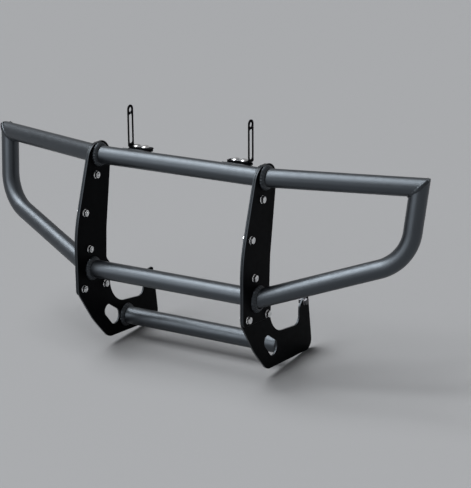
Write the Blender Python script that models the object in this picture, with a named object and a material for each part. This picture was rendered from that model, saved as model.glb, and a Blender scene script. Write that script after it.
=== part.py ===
"""Front bumper for an all-terrain vehicle, in metres, +Z up, front towards -Y.

The bumper is a welded and bolted frame of round tube and flat plate. A centre
section has two side plates joined by a top, a middle and a lower rail. A wing is
bolted to the outside of each side plate: a plate of its own, a tube that sweeps
back to a mitred corner, and a bent tube that comes down and in again. Two slotted
strap brackets stand on tabs behind the top rail.

The origin is midway between the two bolts that hold the bumper to the vehicle's
frame, one in the rear prong of each side plate. Places in a side view are written
as (y, z) pairs. Weld beads are part of the tube or tab that they run round.
"""

import math

import bmesh
import bpy
from mathutils import Matrix, Vector

# Tube, plate and fit
TUBE_RADIUS = 0.01905
TUBE_WALL = 0.0024
PLATE_T = 0.0035
GAP = 0.0003

# Where the rails run, seen from the side, from the frame bolts
TOP_RAIL_Y = -0.177
TOP_RAIL_Z = 0.312
MID_RAIL_Y = -0.2154
MID_RAIL_Z = 0.0739
LOW_RAIL_Y = -0.0933
LOW_RAIL_Z = -0.0683

# Where a wing plate lies on its side plate, from the middle
SEAM_X = 0.1970

# Outline of the plates, measured from the rail that each stretch goes round
LOBE_RADIUS = 0.035
LOBE_RISE = 0.0265
LOBE_FRONT = 0.0311
LOBE_REAR = 0.046
FRONT_LAND = 0.053
SHOULDER_RISE = 0.0885
SHOULDER_RADIUS = 0.250
WAIST_REAR = 0.0524
WAIST_RISE = 0.009
WAIST_RADIUS = 0.010
BACK_REAR = 0.0557
BACK_RISE = 0.073
BACK_RADIUS = 0.150
FLARE_REAR = 0.064
FLARE_DROP = 0.005
FLARE_RADIUS = 0.010
CHIN_DROP = 0.043
CHIN_RADIUS = 0.035
CHEEK_FORWARD = 0.1241
CHEEK_RISE = 0.0258
CHEEK_RADIUS = 0.200
TIP_FORWARD = 0.0712
TIP_DROP = 0.0299
TIP_RADIUS = 0.040
HEEL_REAR = 0.038
HEEL_DROP = 0.049
HEEL_RADIUS = 0.020

# The open bay between the front of the plate and its rear prong
BAY_REAR = 0.0589
BAY_FLOOR_FRONT = 0.045
BAY_FLOOR_REAR = 0.0236
BAY_RADIUS = 0.066
BAY_CORNER = 0.018
PRONG_FRONT = 0.0217
PRONG_SHOULDER = 0.0055
PRONG_TOP = 0.0105
PRONG_TOP_FRONT = 0.0006
PRONG_TOP_REAR = 0.0174
PRONG_RADIUS = 0.007

# The strap hole in the lower end of a side plate: two round ends of unlike size
HOLE_UPPER_FORWARD = 0.0690
HOLE_UPPER_RISE = 0.0316
HOLE_UPPER_RADIUS = 0.013
HOLE_LOWER_FORWARD = 0.0445
HOLE_LOWER_RISE = 0.0102
HOLE_LOWER_RADIUS = 0.017

# A wing plate is wider at the rear, most of all at its lobe, and ends round two bolts
WING_PLATE_WIDER = 0.0024
WING_LOBE_WIDER = 0.0051
WING_PLATE_MARGIN = 0.012
WING_PLATE_RADIUS = 0.0115

# Wing bolts: how far each lies in front of and above or below what it is near
UPPER_BOLT_FORWARD = 0.0165
UPPER_BOLT_DROP = 0.0398
MIDDLE_BOLT_FORWARD = 0.0283
MIDDLE_BOLT_RISE = 0.0050
THIRD_BOLT_FORWARD = 0.0104
THIRD_BOLT_RISE = 0.0448
FRONT_BOLT_FORWARD = 0.0356
FRONT_BOLT_DROP = 0.0354
REAR_BOLT_REAR = 0.0430
REAR_BOLT_DROP = 0.0464

# Wing tubes
WING_REACH = 0.491
WING_SWEEP = 0.0857
WING_FALL = 0.002
KNEE_INSET = 0.010
KNEE_FORWARD = 0.0209
KNEE_DROP = 0.1465
WING_FOOT_REAR = 0.004
WING_FOOT_DROP = 0.005
BEND_RADIUS = 0.090

# Weld beads
WELD_LEG = 0.006
WELD_RUN = 0.008
WELD_CROWN = 0.0006
MITRE_WELD_HALF = 0.004
MITRE_WELD_HEIGHT = 0.0008
MITRE_TRIM = 0.0025

# M8 flange bolts and nuts
SHANK_RADIUS = 0.004
BOLT_HOLE_RADIUS = 0.0045
FLANGE_RADIUS = 0.0081
FLANGE_RIM = 0.0012
FLANGE_CONE = 0.0014
HEX_FLATS = 0.013
HEX_CHAMFER = 0.0006
HEAD_HEIGHT = 0.007
NUT_HEIGHT = 0.0068
BOLT_TIP = 0.0015
TIP_CHAMFER = 0.0008
DOME_RADIUS = 0.0092
DOME_RIM = 0.0008
DOME_HEIGHT = 0.0049

# Strap brackets and the tabs that carry them
TAB_RISE = 0.012
TAB_T = 0.005
TAB_REAR = 0.053
TAB_INNER_X = 0.093
TAB_OUTER_X = 0.144
TAB_CORNER = 0.004
STRAP_X = 0.1443
STRAP_T = 0.0025
STRAP_W = 0.019
STRAP_REAR = 0.0435
STRAP_TOP = 0.102
STRAP_BEND = 0.003
FOOT_INNER_X = 0.091
FOOT_CORNER = 0.006
STRAP_HOLE_DROP = 0.0103
STRAP_HOLE_RADIUS = 0.0055
SLOT_WIDTH = 0.013
SLOT_DROP = 0.0193
SLOT_LENGTH = 0.062
SLOT_CORNER = 0.004
FOOT_BOLT_INNER_X = 0.108
FOOT_BOLT_PITCH = 0.0195

# Facets
TUBE_SIDES = 32
SHANK_SIDES = 12
FLANGE_SIDES = 18
HOLE_SIDES = 16
ARC_STEP = math.radians(12)
BEND_STEPS = 8

SIDES = {"left": -1, "right": 1}


def clear_scene():
    for item in list(bpy.data.objects):
        bpy.data.objects.remove(item, do_unlink=True)


def make_material(name, colour, roughness, metallic):
    material = bpy.data.materials.new(name)
    material.use_nodes = True
    shader = material.node_tree.nodes["Principled BSDF"]
    shader.inputs["Base Color"].default_value = (*colour, 1.0)
    shader.inputs["Roughness"].default_value = roughness
    shader.inputs["Metallic"].default_value = metallic
    return material


def finish_mesh(name, shape, material):
    """Turn a bmesh into a mesh with its faces out and its round faces smooth."""
    bmesh.ops.recalc_face_normals(shape, faces=shape.faces)
    mesh = bpy.data.meshes.new(name)
    shape.to_mesh(mesh)
    shape.free()
    mesh.shade_smooth()
    mesh.set_sharp_from_angle(angle=math.radians(35))
    mesh.materials.append(material)
    return mesh


def add_object(name, mesh):
    item = bpy.data.objects.new(name, mesh)
    bpy.context.scene.collection.objects.link(item)
    return item


# Outlines and plates


def circle_points(centre, radius, sides):
    turns = [2 * math.pi * k / sides for k in range(sides)]
    return [(centre[0] + radius * math.cos(a), centre[1] + radius * math.sin(a)) for a in turns]


def corner_turn(points, k):
    """Directions before and after a corner, and the turn between them."""
    before = (points[k] - points[k - 1]).normalized()
    after = (points[(k + 1) % len(points)] - points[k]).normalized()
    return before, after, math.atan2(before.cross(after), before.dot(after))


def round_outline(corners):
    """Round each corner (a, b, radius) of a closed outline.

    Where the arcs at both ends of an edge need more than its length, they are
    made smaller.
    """
    count = len(corners)
    points = [Vector(corner[:2]) for corner in corners]
    turns = [corner_turn(points, k) for k in range(count)]
    reach = [corners[k][2] * abs(math.tan(turns[k][2] / 2)) for k in range(count)]
    share = [1.0] * count
    for k in range(count):
        n = (k + 1) % count
        room = (points[n] - points[k]).length * 0.999
        fit = min(1.0, room / max(reach[k] + reach[n], room))
        share[k] = min(share[k], fit)
        share[n] = min(share[n], fit)
    outline = []
    for k in range(count):
        if corners[k][2] == 0:
            outline.append(tuple(points[k]))
            continue
        before, _, turn = turns[k]
        side = math.copysign(1, turn)
        start = points[k] - before * reach[k] * share[k]
        centre = start + Vector((-before.y, before.x)) * side * corners[k][2] * share[k]
        steps = max(1, math.ceil(abs(turn) / ARC_STEP))
        for s in range(steps + 1):
            outline.append(tuple(centre + Matrix.Rotation(turn * s / steps, 2) @ (start - centre)))
    return outline


def from_side(y, z, x):
    return (x, y, z)


def from_above(x, y, z):
    return (x, y, z)


def from_front(x, z, y):
    return (x, y, z)


def prism(name, outline, low, high, place, material):
    """Extrude a flat outline from low to high, as place(a, b, c) puts its points."""
    shape = bmesh.new()
    face = shape.faces.new([shape.verts.new(place(a, b, low)) for a, b in outline])
    grown = bmesh.ops.extrude_face_region(shape, geom=[face])
    lifted = [v for v in grown["geom"] if isinstance(v, bmesh.types.BMVert)]
    bmesh.ops.translate(shape, verts=lifted, vec=Vector(place(0, 0, high - low)))
    return add_object(name, finish_mesh(name, shape, material))


def boolean(target, tool, operation):
    tool.hide_render = True
    tool.display_type = "WIRE"
    modifier = target.modifiers.new(operation.lower() + "_" + tool.name, "BOOLEAN")
    modifier.operation = operation
    modifier.solver = "EXACT"
    modifier.object = tool


def drill(target, places, radius, low, high, place, material):
    """Cut round holes through a flat piece, which lies between low and high."""
    for index, centre in enumerate(places):
        name = f"cut_{target.name}_{place.__name__}_{index}"
        outline = circle_points(centre, radius, HOLE_SIDES)
        boolean(target, prism(name, outline, low, high, place, material), "DIFFERENCE")


def plate_faces():
    """Distances of the plates' faces from the middle: side plate, then wing plate."""
    side_outer = SEAM_X - GAP / 2
    wing_inner = SEAM_X + GAP / 2
    return side_outer - PLATE_T, side_outer, wing_inner, wing_inner + PLATE_T


def wing_bolt_places():
    upper = (TOP_RAIL_Y - UPPER_BOLT_FORWARD, TOP_RAIL_Z - UPPER_BOLT_DROP)
    third = (MID_RAIL_Y - THIRD_BOLT_FORWARD, MID_RAIL_Z + THIRD_BOLT_RISE)
    halfway = ((upper[0] + third[0]) / 2, (upper[1] + third[1]) / 2)
    middle = (halfway[0] - MIDDLE_BOLT_FORWARD, halfway[1] + MIDDLE_BOLT_RISE)
    front = (MID_RAIL_Y - FRONT_BOLT_FORWARD, MID_RAIL_Z - FRONT_BOLT_DROP)
    rear = (MID_RAIL_Y + REAR_BOLT_REAR, MID_RAIL_Z - REAR_BOLT_DROP)
    return [upper, middle, third, front, rear]


def upper_corners(wider, lobe_wider):
    """The stretch of outline that both plates have, from the flare up and over."""
    return [
        (MID_RAIL_Y + FLARE_REAR, MID_RAIL_Z - FLARE_DROP, FLARE_RADIUS),
        (MID_RAIL_Y + WAIST_REAR + wider, MID_RAIL_Z + WAIST_RISE, WAIST_RADIUS),
        (MID_RAIL_Y + BACK_REAR + wider, MID_RAIL_Z + BACK_RISE, BACK_RADIUS),
        (TOP_RAIL_Y + LOBE_REAR + lobe_wider, TOP_RAIL_Z + LOBE_RISE, LOBE_RADIUS),
        (TOP_RAIL_Y - LOBE_FRONT, TOP_RAIL_Z + LOBE_RISE, LOBE_RADIUS),
        (MID_RAIL_Y - FRONT_LAND, MID_RAIL_Z + SHOULDER_RISE, SHOULDER_RADIUS),
    ]


def side_plate_outline():
    lower = [
        (MID_RAIL_Y - FRONT_LAND, MID_RAIL_Z - CHIN_DROP, CHIN_RADIUS),
        (LOW_RAIL_Y - CHEEK_FORWARD, LOW_RAIL_Z + CHEEK_RISE, CHEEK_RADIUS),
        (LOW_RAIL_Y - TIP_FORWARD, LOW_RAIL_Z - TIP_DROP, TIP_RADIUS),
        (HEEL_REAR, LOW_RAIL_Z - HEEL_DROP, HEEL_RADIUS),
        (PRONG_TOP_REAR, PRONG_TOP, PRONG_RADIUS),
        (-PRONG_TOP_FRONT, PRONG_TOP, PRONG_RADIUS),
        (-PRONG_FRONT, -PRONG_SHOULDER, PRONG_RADIUS),
        (-PRONG_FRONT, LOW_RAIL_Z + BAY_FLOOR_REAR, BAY_CORNER),
        (MID_RAIL_Y + BAY_REAR, LOW_RAIL_Z + BAY_FLOOR_FRONT, BAY_RADIUS),
    ]
    return round_outline(upper_corners(0.0, 0.0) + lower)


def wing_plate_outline():
    front, rear = wing_bolt_places()[3:]
    lower = [
        (MID_RAIL_Y - FRONT_LAND, front[1] - WING_PLATE_MARGIN, WING_PLATE_RADIUS),
        (MID_RAIL_Y + BAY_REAR, rear[1] - WING_PLATE_MARGIN, WING_PLATE_RADIUS),
    ]
    return round_outline(upper_corners(WING_PLATE_WIDER, WING_LOBE_WIDER) + lower)


def strap_hole_outline():
    """A belt round two circles: the strap hole of a side plate."""
    upper = Vector((LOW_RAIL_Y - HOLE_UPPER_FORWARD, LOW_RAIL_Z + HOLE_UPPER_RISE))
    lower = Vector((LOW_RAIL_Y - HOLE_LOWER_FORWARD, LOW_RAIL_Z + HOLE_LOWER_RISE))
    run = lower - upper
    heading = math.atan2(run.y, run.x)
    wrap = math.acos((HOLE_UPPER_RADIUS - HOLE_LOWER_RADIUS) / run.length)
    outline = []
    ends = (
        (lower, HOLE_LOWER_RADIUS, -wrap, wrap),
        (upper, HOLE_UPPER_RADIUS, wrap, 2 * math.pi - wrap),
    )
    for centre, radius, start, end in ends:
        steps = math.ceil((end - start) / (1.5 * ARC_STEP))
        for s in range(steps + 1):
            angle = heading + start + (end - start) * s / steps
            outline.append((centre.x + radius * math.cos(angle), centre.y + radius * math.sin(angle)))
    return outline


def make_plates(side, sign, black):
    side_inner, side_outer, wing_inner, wing_outer = [sign * x for x in plate_faces()]
    low, high = side_inner - sign * PLATE_T, wing_outer + sign * PLATE_T
    outline = side_plate_outline()
    side_plate = prism(f"side_plate_{side}", outline, side_inner, side_outer, from_side, black)
    drill(side_plate, wing_bolt_places() + [(0.0, 0.0)], BOLT_HOLE_RADIUS, low, high, from_side, black)
    hole = prism(f"cut_strap_hole_{side}", strap_hole_outline(), low, high, from_side, black)
    boolean(side_plate, hole, "DIFFERENCE")
    outline = wing_plate_outline()
    wing_plate = prism(f"wing_plate_{side}", outline, wing_inner, wing_outer, from_side, black)
    drill(wing_plate, wing_bolt_places(), BOLT_HOLE_RADIUS, low, high, from_side, black)


# Tubes


def plate_weld():
    """A fillet weld at a tube's end, as (distance from the end, rise above the tube)."""
    middle = (WELD_RUN / 2 + WELD_CROWN, WELD_LEG / 2 + WELD_CROWN)
    return [(0.0, WELD_LEG), middle, (WELD_RUN, 0.0)]


def mitre_weld():
    """Half of the low bead that covers a mitre."""
    shoulder = MITRE_WELD_HALF * 0.6
    return [(0.0, MITRE_WELD_HEIGHT), (shoulder, MITRE_WELD_HEIGHT * 0.7), (MITRE_WELD_HALF, 0.0)]


def ring(shape, origin, along, cut, normal, radius):
    """Vertices round a tube, where the plane through origin square to cut meets it."""
    up = (normal - along * normal.dot(along)).normalized()
    across = up.cross(along)
    points = []
    for a, b in circle_points((0, 0), radius, TUBE_SIDES):
        spoke = across * a + up * b
        points.append(shape.verts.new(origin + spoke - along * spoke.dot(cut) / along.dot(cut)))
    return points


def tube(name, start, bend, end, normal, material):
    """A hollow tube with a weld at each end.

    start and end are (point, direction of the tube, normal of the end face, weld),
    bend holds (point, direction) pairs, and normal is square to the bend's plane.
    """
    shape = bmesh.new()
    outer = []
    inner = []
    point, along, cut, weld = start
    for distance, rise in weld:
        outer.append(ring(shape, point + along * distance, along, cut, normal, TUBE_RADIUS + rise))
    inner.append(ring(shape, point, along, cut, normal, TUBE_RADIUS - TUBE_WALL))
    for point, along in bend:
        outer.append(ring(shape, point, along, along, normal, TUBE_RADIUS))
        inner.append(ring(shape, point, along, along, normal, TUBE_RADIUS - TUBE_WALL))
    point, along, cut, weld = end
    for distance, rise in reversed(weld):
        outer.append(ring(shape, point - along * distance, along, cut, normal, TUBE_RADIUS + rise))
    inner.append(ring(shape, point, along, cut, normal, TUBE_RADIUS - TUBE_WALL))
    loop = outer + inner[::-1]
    for first, second in zip(loop, loop[1:] + loop[:1]):
        for k in range(TUBE_SIDES):
            n = (k + 1) % TUBE_SIDES
            shape.faces.new((first[k], first[n], second[n], second[k]))
    return add_object(name, finish_mesh(name, shape, material))


def make_rails(black):
    along = Vector((1, 0, 0))
    reach = plate_faces()[0] - GAP
    rails = {
        "top_rail": (TOP_RAIL_Y, TOP_RAIL_Z),
        "mid_rail": (MID_RAIL_Y, MID_RAIL_Z),
        "lower_rail": (LOW_RAIL_Y, LOW_RAIL_Z),
    }
    for name, (y, z) in rails.items():
        start = (Vector((-reach, y, z)), along, along, plate_weld())
        end = (Vector((reach, y, z)), along, along, plate_weld())
        tube(name, start, [], end, Vector((0, 0, 1)), black)


def bend_stations(knee, before, after, normal):
    """Points and directions round the bend that rounds off the knee."""
    turn = before.angle(after)
    first = knee - before * BEND_RADIUS * math.tan(turn / 2)
    centre = first + normal.cross(before) * BEND_RADIUS
    stations = []
    for step in range(BEND_STEPS + 1):
        spin = Matrix.Rotation(turn * step / BEND_STEPS, 3, normal)
        stations.append((centre + spin @ (first - centre), spin @ before))
    return stations


def trim_tip(tube_end, corner, out, down):
    """Grind the sharp tip of a mitre flat, square to the line that halves the corner."""
    away = (out - down).normalized()
    mitre = (out + down).normalized()
    tip = TUBE_RADIUS / out.dot(mitre)
    size = 2 * TUBE_RADIUS
    turn = Matrix((away, mitre, away.cross(mitre))).transposed().to_4x4()
    centre = corner + away * (tip - MITRE_TRIM + size / 2)
    shape = bmesh.new()
    bmesh.ops.create_cube(shape, size=size, matrix=Matrix.Translation(centre) @ turn)
    block = add_object(f"cut_tip_{tube_end.name}", finish_mesh("tip", shape, tube_end.data.materials[0]))
    boolean(tube_end, block, "DIFFERENCE")


def on_face(point, along, x):
    """Where the line through a point reaches the upright plane at x."""
    return point + along * (x - point.x) / along.x


def make_wing_tubes(side, sign, black):
    root = Vector((sign * SEAM_X, TOP_RAIL_Y, TOP_RAIL_Z))
    corner = Vector((sign * WING_REACH, TOP_RAIL_Y + WING_SWEEP, TOP_RAIL_Z - WING_FALL))
    knee = corner + Vector((-sign * KNEE_INSET, -KNEE_FORWARD, -KNEE_DROP))
    foot = Vector((sign * SEAM_X, MID_RAIL_Y + WING_FOOT_REAR, MID_RAIL_Z - WING_FOOT_DROP))
    out = (corner - root).normalized()
    down = (knee - corner).normalized()
    inward = (foot - knee).normalized()
    seat_x = sign * (plate_faces()[3] + GAP)
    face = Vector((1, 0, 0))
    mitre = (out + down).normalized()
    half_gap = GAP / 2

    near = corner - out * half_gap / out.dot(mitre)
    start = (on_face(root, out, seat_x), out, face, plate_weld())
    top_end = (near, out, mitre, mitre_weld())
    top = tube(f"wing_top_tube_{side}", start, [], top_end, out.cross(down), black)
    trim_tip(top, corner, out, down)

    normal = down.cross(inward).normalized()
    far = corner + down * half_gap / down.dot(mitre)
    end = (on_face(foot, inward, seat_x), inward, face, plate_weld())
    bend = bend_stations(knee, down, inward, normal)
    outer = tube(f"wing_outer_tube_{side}", (far, down, mitre, mitre_weld()), bend, end, normal, black)
    trim_tip(outer, corner, out, down)


# Strap brackets and their tabs


def foot_bolt_places(sign):
    y = TOP_RAIL_Y + STRAP_REAR
    return [(sign * FOOT_BOLT_INNER_X, y), (sign * (FOOT_BOLT_INNER_X + FOOT_BOLT_PITCH), y)]


def tab_section():
    """Section of a tab, seen from the side: it flares into a weld at the top rail."""
    radius = (TUBE_RADIUS + GAP) / math.cos(math.pi / TUBE_SIDES)
    top = math.asin(TAB_RISE / radius)
    bottom = math.asin((TAB_RISE - TAB_T) / radius)
    spread = WELD_LEG / radius
    toes = [(top, 1), (bottom, -1)]
    on_tube = [top + spread - (top - bottom + 2 * spread) * k / 6 for k in range(7)]
    arc = [(radius * math.cos(a), radius * math.sin(a)) for a in on_tube]
    leg_ends = [(radius * math.cos(a) + WELD_LEG, radius * math.sin(a)) for a, _ in toes]
    rear = [(TAB_REAR, TAB_RISE - TAB_T), (TAB_REAR, TAB_RISE)]
    section = arc + [leg_ends[1]] + rear + [leg_ends[0]]
    return [(TOP_RAIL_Y + y, TOP_RAIL_Z + z) for y, z in section]


def make_tab(side, sign, black):
    """The plate behind the top rail that carries a bracket."""
    inner, outer = sign * TAB_INNER_X, sign * TAB_OUTER_X
    top = TOP_RAIL_Z + TAB_RISE
    rear = TOP_RAIL_Y + TAB_REAR
    tab = prism(f"bracket_tab_{side}", tab_section(), inner, outer, from_side, black)
    plan = [
        (inner, TOP_RAIL_Y, 0.0),
        (outer, TOP_RAIL_Y, 0.0),
        (outer, rear, TAB_CORNER),
        (inner, rear, TAB_CORNER),
    ]
    low, high = top - TAB_T - 2 * WELD_LEG, top + 2 * WELD_LEG
    trim = prism(f"cut_tab_plan_{side}", round_outline(plan), low, high, from_above, black)
    boolean(tab, trim, "INTERSECT")
    drill(tab, foot_bolt_places(sign), BOLT_HOLE_RADIUS, low, high, from_above, black)


def make_bracket(side, sign, black):
    """A strap bent to an L, its long leg slotted and rounded at the top."""
    foot_z = TOP_RAIL_Z + TAB_RISE + GAP
    top_z = TOP_RAIL_Z + STRAP_TOP
    strap_y = TOP_RAIL_Y + STRAP_REAR
    half = STRAP_W / 2
    outer, inner, end = sign * STRAP_X, sign * (STRAP_X - STRAP_T), sign * FOOT_INNER_X
    profile = [
        (end, foot_z, 0.0),
        (outer, foot_z, STRAP_BEND + STRAP_T),
        (outer, top_z, 0.0),
        (inner, top_z, 0.0),
        (inner, foot_z + STRAP_T, STRAP_BEND),
        (end, foot_z + STRAP_T, 0.0),
    ]
    name = f"strap_bracket_{side}"
    strap = prism(name, round_outline(profile), strap_y - half, strap_y + half, from_front, black)

    below = foot_z - STRAP_T
    rounded = [
        (strap_y - half - GAP, below, 0.0),
        (strap_y + half + GAP, below, 0.0),
        (strap_y + half + GAP, top_z, half),
        (strap_y - half - GAP, top_z, half),
    ]
    low, high = end - sign * STRAP_W, outer + sign * STRAP_W
    trim = prism(f"cut_strap_top_{side}", round_outline(rounded), low, high, from_side, black)
    boolean(strap, trim, "INTERSECT")

    plan = [
        (end, strap_y - half - GAP, FOOT_CORNER),
        (high, strap_y - half - GAP, 0.0),
        (high, strap_y + half + GAP, 0.0),
        (end, strap_y + half + GAP, FOOT_CORNER),
    ]
    trim = prism(f"cut_foot_plan_{side}", round_outline(plan), below, top_z + STRAP_T, from_above, black)
    boolean(strap, trim, "INTERSECT")

    slot_top = top_z - SLOT_DROP
    slot_half = SLOT_WIDTH / 2
    slot = [
        (strap_y - slot_half, slot_top - SLOT_LENGTH, SLOT_CORNER),
        (strap_y + slot_half, slot_top - SLOT_LENGTH, SLOT_CORNER),
        (strap_y + slot_half, slot_top, SLOT_CORNER),
        (strap_y - slot_half, slot_top, SLOT_CORNER),
    ]
    low, high = inner - sign * STRAP_BEND, outer + sign * STRAP_BEND
    opening = prism(f"cut_slot_{side}", round_outline(slot), low, high, from_side, black)
    boolean(strap, opening, "DIFFERENCE")
    drill(strap, [(strap_y, top_z - STRAP_HOLE_DROP)], STRAP_HOLE_RADIUS, low, high, from_side, black)
    low, high = foot_z - STRAP_T, foot_z + 2 * STRAP_T
    drill(strap, foot_bolt_places(sign), BOLT_HOLE_RADIUS, low, high, from_above, black)


# Fasteners


def hexagon(flats):
    return circle_points((0, 0), flats / math.sqrt(3), 6)


def row(shape, points, height):
    return [shape.verts.new((a, b, height)) for a, b in points]


def join_rows(shape, low, high):
    """Join two closed rows, which both start at the same bearing, with faces."""
    if len(low) == len(high):
        for k in range(len(low)):
            n = (k + 1) % len(low)
            shape.faces.new((low[k], low[n], high[n], high[k]))
        return
    i = j = 0
    while i < len(low) or j < len(high):
        a, b = low[i % len(low)], high[j % len(high)]
        if (i + 1) / len(low) <= (j + 1) / len(high):
            i += 1
            shape.faces.new((a, low[i % len(low)], b))
        else:
            j += 1
            shape.faces.new((a, high[j % len(high)], b))


def head_rows(shape, height):
    """Rows of a flanged hexagon, from its seat up."""
    flange = circle_points((0, 0), FLANGE_RADIUS, FLANGE_SIDES)
    return [
        row(shape, flange, 0.0),
        row(shape, flange, FLANGE_RIM),
        row(shape, hexagon(HEX_FLATS), FLANGE_RIM + FLANGE_CONE),
        row(shape, hexagon(HEX_FLATS), height - HEX_CHAMFER),
        row(shape, hexagon(HEX_FLATS - 2 * HEX_CHAMFER), height),
    ]


def dome_rows(shape):
    """Rows of a low domed head, from its seat up."""
    rows = [row(shape, circle_points((0, 0), DOME_RADIUS, FLANGE_SIDES), 0.0)]
    for turn in (0, 25, 50, 75):
        angle = math.radians(turn)
        height = DOME_RIM + (DOME_HEIGHT - DOME_RIM) * math.sin(angle)
        rows.append(row(shape, circle_points((0, 0), DOME_RADIUS * math.cos(angle), FLANGE_SIDES), height))
    return rows


def bolt_mesh(name, grip, domed, material):
    """A bolt whose head seats at z = 0, its shank going down through the grip."""
    shape = bmesh.new()
    tip = -(grip + NUT_HEIGHT + BOLT_TIP)
    rows = [
        row(shape, circle_points((0, 0), SHANK_RADIUS - TIP_CHAMFER, SHANK_SIDES), tip),
        row(shape, circle_points((0, 0), SHANK_RADIUS, SHANK_SIDES), tip + TIP_CHAMFER),
        row(shape, circle_points((0, 0), SHANK_RADIUS, SHANK_SIDES), 0.0),
    ]
    rows += dome_rows(shape) if domed else head_rows(shape, HEAD_HEIGHT)
    for low, high in zip(rows, rows[1:]):
        join_rows(shape, low, high)
    shape.faces.new(rows[0])
    shape.faces.new(rows[-1])
    return finish_mesh(name, shape, material)


def nut_mesh(name, material):
    """A flange nut that seats at z = 0, open round the shank."""
    shape = bmesh.new()
    bore = circle_points((0, 0), SHANK_RADIUS + GAP, SHANK_SIDES)
    rows = head_rows(shape, NUT_HEIGHT) + [row(shape, bore, NUT_HEIGHT), row(shape, bore, 0.0)]
    for low, high in zip(rows, rows[1:] + rows[:1]):
        join_rows(shape, low, high)
    return finish_mesh(name, shape, material)


def place_set(names, seats, grip, axis, domed, zinc):
    """Bolts and nuts that clamp a grip: a head at each seat, facing along axis."""
    bolt, nut = bolt_mesh(names[0], grip, domed, zinc), nut_mesh(names[1], zinc)
    for index, seat in enumerate(seats):
        ending = f"_{index + 1}" if len(seats) > 1 else ""
        for name, mesh, back, facing in ((names[0], bolt, 0.0, axis), (names[1], nut, grip, -axis)):
            item = add_object(name + ending, mesh)
            item.location = Vector(seat) - axis * back
            item.rotation_mode = "QUATERNION"
            item.rotation_quaternion = facing.to_track_quat("Z", "Y")


def make_fasteners(side, sign, zinc):
    side_inner, side_outer, _, wing_outer = plate_faces()
    axis = Vector((sign, 0, 0))
    seats = [(sign * (wing_outer + GAP), y, z) for y, z in wing_bolt_places()]
    grip = wing_outer - side_inner + 2 * GAP
    place_set((f"wing_bolt_{side}", f"wing_nut_{side}"), seats, grip, axis, False, zinc)

    seats = [(sign * (side_outer + GAP), 0.0, 0.0)]
    place_set((f"frame_bolt_{side}", f"frame_nut_{side}"), seats, PLATE_T + 2 * GAP, axis, False, zinc)

    foot_top = TOP_RAIL_Z + TAB_RISE + GAP + STRAP_T
    seats = [(x, y, foot_top + GAP) for x, y in foot_bolt_places(sign)]
    grip = TAB_T + STRAP_T + 3 * GAP
    up = Vector((0, 0, 1))
    place_set((f"bracket_bolt_{side}", f"bracket_nut_{side}"), seats, grip, up, True, zinc)


def main():
    clear_scene()
    black = make_material("black_powder_coat", (0.011, 0.012, 0.014), 0.32, 0.0)
    zinc = make_material("bright_zinc", (0.70, 0.71, 0.70), 0.26, 1.0)
    make_rails(black)
    for side, sign in SIDES.items():
        make_plates(side, sign, black)
        make_wing_tubes(side, sign, black)
        make_tab(side, sign, black)
        make_bracket(side, sign, black)
        make_fasteners(side, sign, zinc)


main()
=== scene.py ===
# %% [markdown]
# # A front bumper for an all-terrain vehicle
#
# The bumper is a frame of round steel tube and flat laser-cut plate, welded and bolted
# together, then powder coated in satin black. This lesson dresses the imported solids: the
# plates get smooth outlines and softened edges, the tubes get round skins, and the weld
# beads, the threads and the coat get the detail that a photograph shows. Everything is in
# metres, +Z up, with the front towards -Y and the origin between the two frame bolts.

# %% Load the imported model
import math
from types import SimpleNamespace

import bmesh
import bpy
from mathutils import Matrix, Vector


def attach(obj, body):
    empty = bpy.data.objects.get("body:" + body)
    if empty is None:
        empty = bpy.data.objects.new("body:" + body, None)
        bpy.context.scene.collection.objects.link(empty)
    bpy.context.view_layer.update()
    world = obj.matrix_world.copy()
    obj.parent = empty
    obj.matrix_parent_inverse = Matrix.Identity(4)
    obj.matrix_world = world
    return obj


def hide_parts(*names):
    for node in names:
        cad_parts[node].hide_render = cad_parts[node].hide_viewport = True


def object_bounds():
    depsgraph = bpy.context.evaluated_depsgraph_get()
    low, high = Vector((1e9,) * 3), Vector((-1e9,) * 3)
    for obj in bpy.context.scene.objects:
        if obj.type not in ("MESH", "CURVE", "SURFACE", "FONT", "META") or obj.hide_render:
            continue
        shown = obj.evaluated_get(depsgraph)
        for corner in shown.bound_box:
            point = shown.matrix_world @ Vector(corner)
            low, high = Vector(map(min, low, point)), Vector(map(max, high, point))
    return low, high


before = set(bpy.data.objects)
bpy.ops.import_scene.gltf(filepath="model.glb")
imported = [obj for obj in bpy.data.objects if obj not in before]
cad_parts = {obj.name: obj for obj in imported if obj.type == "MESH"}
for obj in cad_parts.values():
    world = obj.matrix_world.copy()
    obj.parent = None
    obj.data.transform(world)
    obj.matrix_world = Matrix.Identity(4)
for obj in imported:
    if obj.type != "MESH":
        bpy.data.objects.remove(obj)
cad_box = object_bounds()
print("packed nodes:", len(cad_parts), "size:", [round(b - a, 4) for a, b in zip(*cad_box)])

# %% [markdown]
# ## Working by hand, in code
#
# Blender's operators act on whatever is selected, so each step begins with nothing
# selected. A piece is drawn in edit mode, and its faces are then picked by their place.
# When it is done, its place goes into its mesh, so the object itself sits at the origin.

# %% Helpers for selecting and applying
def leave_edit_mode():
    if bpy.context.mode != "OBJECT":
        bpy.ops.object.mode_set(mode="OBJECT")
    bpy.ops.object.select_all(action="DESELECT")


def make_active(piece):
    leave_edit_mode()
    piece.select_set(True)
    bpy.context.view_layer.objects.active = piece


def place_in_mesh(piece):
    make_active(piece)
    bpy.ops.object.transform_apply(location=True, rotation=True, scale=True)


def edit(piece, kind="VERT"):
    make_active(piece)
    bpy.ops.object.mode_set(mode="EDIT")
    bpy.ops.mesh.select_mode(type=kind)
    bpy.ops.mesh.select_all(action="DESELECT")


def edit_all(piece, kind="VERT"):
    edit(piece, kind)
    bpy.ops.mesh.select_all(action="SELECT")


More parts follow.
